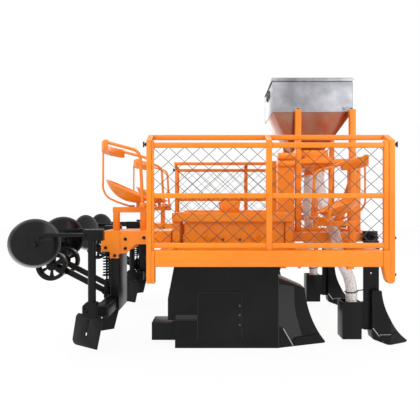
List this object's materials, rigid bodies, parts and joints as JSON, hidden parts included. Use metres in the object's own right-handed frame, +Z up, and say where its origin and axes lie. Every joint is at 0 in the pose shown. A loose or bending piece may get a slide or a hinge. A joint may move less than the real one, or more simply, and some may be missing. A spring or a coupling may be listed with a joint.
{
  "type": "two-row sugarcane planter",
  "caption": "Tractor-mounted sugarcane planter with seats, mesh side gates, a fertiliser hopper, furrow openers, covering discs and press wheels on a three-point hitch",
  "frame": {"origin": "on the ground, midway between the foremost and rearmost points and between the rows", "axes": "+X forwards towards the tractor, +Y to the machine's left, +Z up"},
  "size_m": [3.0443, 2.06, 2.2433],
  "materials": {
    "orange_paint": "gloss enamel on steel",
    "black_paint": "gloss enamel on steel",
    "polished_disc": "high gloss on steel",
    "stainless_sheet": "cold-rolled stainless sheet",
    "mesh_wire": "galvanised wire",
    "clear_hose": "ribbed clear PVC"
  },
  "bodies": {
    "frame": {"side_beams": "orange_paint", "cross_beams": "orange_paint", "row_rails": "orange_paint", "hitch_rails": "orange_paint", "hitch_tube": "orange_paint", "mast_plates": "orange_paint", "mast_braces": "orange_paint", "link_brackets": "black_paint", "link_pins": "black_paint", "gate_posts": "orange_paint", "post_brackets": "orange_paint", "gate_stiles": "orange_paint", "gate_rails": "orange_paint", "mesh_right": "mesh_wire", "mesh_left": "mesh_wire", "hopper_bin": "stainless_sheet", "hopper_funnel": "stainless_sheet", "hopper_stand": "orange_paint", "stand_ties": "orange_paint", "metering_unit": "orange_paint", "drive_cases": "orange_paint", "fert_hose_right": "clear_hose", "fert_hose_left": "clear_hose", "shank_clamps": "black_paint", "fert_shanks": "black_paint", "fert_shares": "black_paint", "fert_boots": "black_paint", "opener_box_right": "black_paint", "opener_box_left": "black_paint", "opener_shares": "black_paint", "opener_covers": "black_paint", "cutter_box_right": "orange_paint", "cutter_box_left": "orange_paint", "feed_tables": "orange_paint", "table_legs": "orange_paint", "feed_funnels": "orange_paint", "seat_pans": "orange_paint", "backrests": "orange_paint", "seat_arms": "orange_paint", "seat_hoops": "orange_paint", "seat_stands": "orange_paint", "rear_brackets": "orange_paint", "rear_legs": "black_paint", "cross_bars": "black_paint", "bar_clamps": "black_paint", "cover_plates": "black_paint", "disc_struts": "black_paint", "disc_arms": "black_paint", "press_arms": "black_paint", "press_pivots": "black_paint", "springs": "black_paint"},
    "lid": {"hopper_lid": "stainless_sheet"},
    "disc_right_outer": {"disc_right_outer": "polished_disc"},
    "disc_right_inner": {"disc_right_inner": "polished_disc"},
    "disc_left_outer": {"disc_left_outer": "polished_disc"},
    "disc_left_inner": {"disc_left_inner": "polished_disc"},
    "press_wheels_right": {"press_wheels_right": "black_paint"},
    "press_wheels_left": {"press_wheels_left": "black_paint"}
  },
  "joints": [
    {"name": "lid_hinge", "type": "hinge", "parent": "frame", "child": "lid", "pos_m": [1.226, 0, 2.2353], "axis": [0, 1, 0], "range_deg": [0, 110]},
    {"name": "disc_right_outer_spin", "type": "hinge", "parent": "frame", "child": "disc_right_outer", "pos_m": [-1.3425, -0.88, 0.815], "axis": [0.454, -0.891, 0], "continuous": true},
    {"name": "disc_right_inner_spin", "type": "hinge", "parent": "frame", "child": "disc_right_inner", "pos_m": [-1.3425, -0.338, 0.815], "axis": [0.454, -0.891, 0], "continuous": true},
    {"name": "press_wheels_right_spin", "type": "hinge", "parent": "frame", "child": "press_wheels_right", "pos_m": [-1.278, -0.6, 0.635], "axis": [0, 1, 0], "continuous": true},
    {"name": "disc_left_outer_spin", "type": "hinge", "parent": "frame", "child": "disc_left_outer", "pos_m": [-1.3425, 0.88, 0.815], "axis": [0.454, 0.891, 0], "continuous": true},
    {"name": "disc_left_inner_spin", "type": "hinge", "parent": "frame", "child": "disc_left_inner", "pos_m": [-1.3425, 0.338, 0.815], "axis": [0.454, 0.891, 0], "continuous": true},
    {"name": "press_wheels_left_spin", "type": "hinge", "parent": "frame", "child": "press_wheels_left", "pos_m": [-1.278, 0.6, 0.635], "axis": [0, 1, 0], "continuous": true}
  ]
}
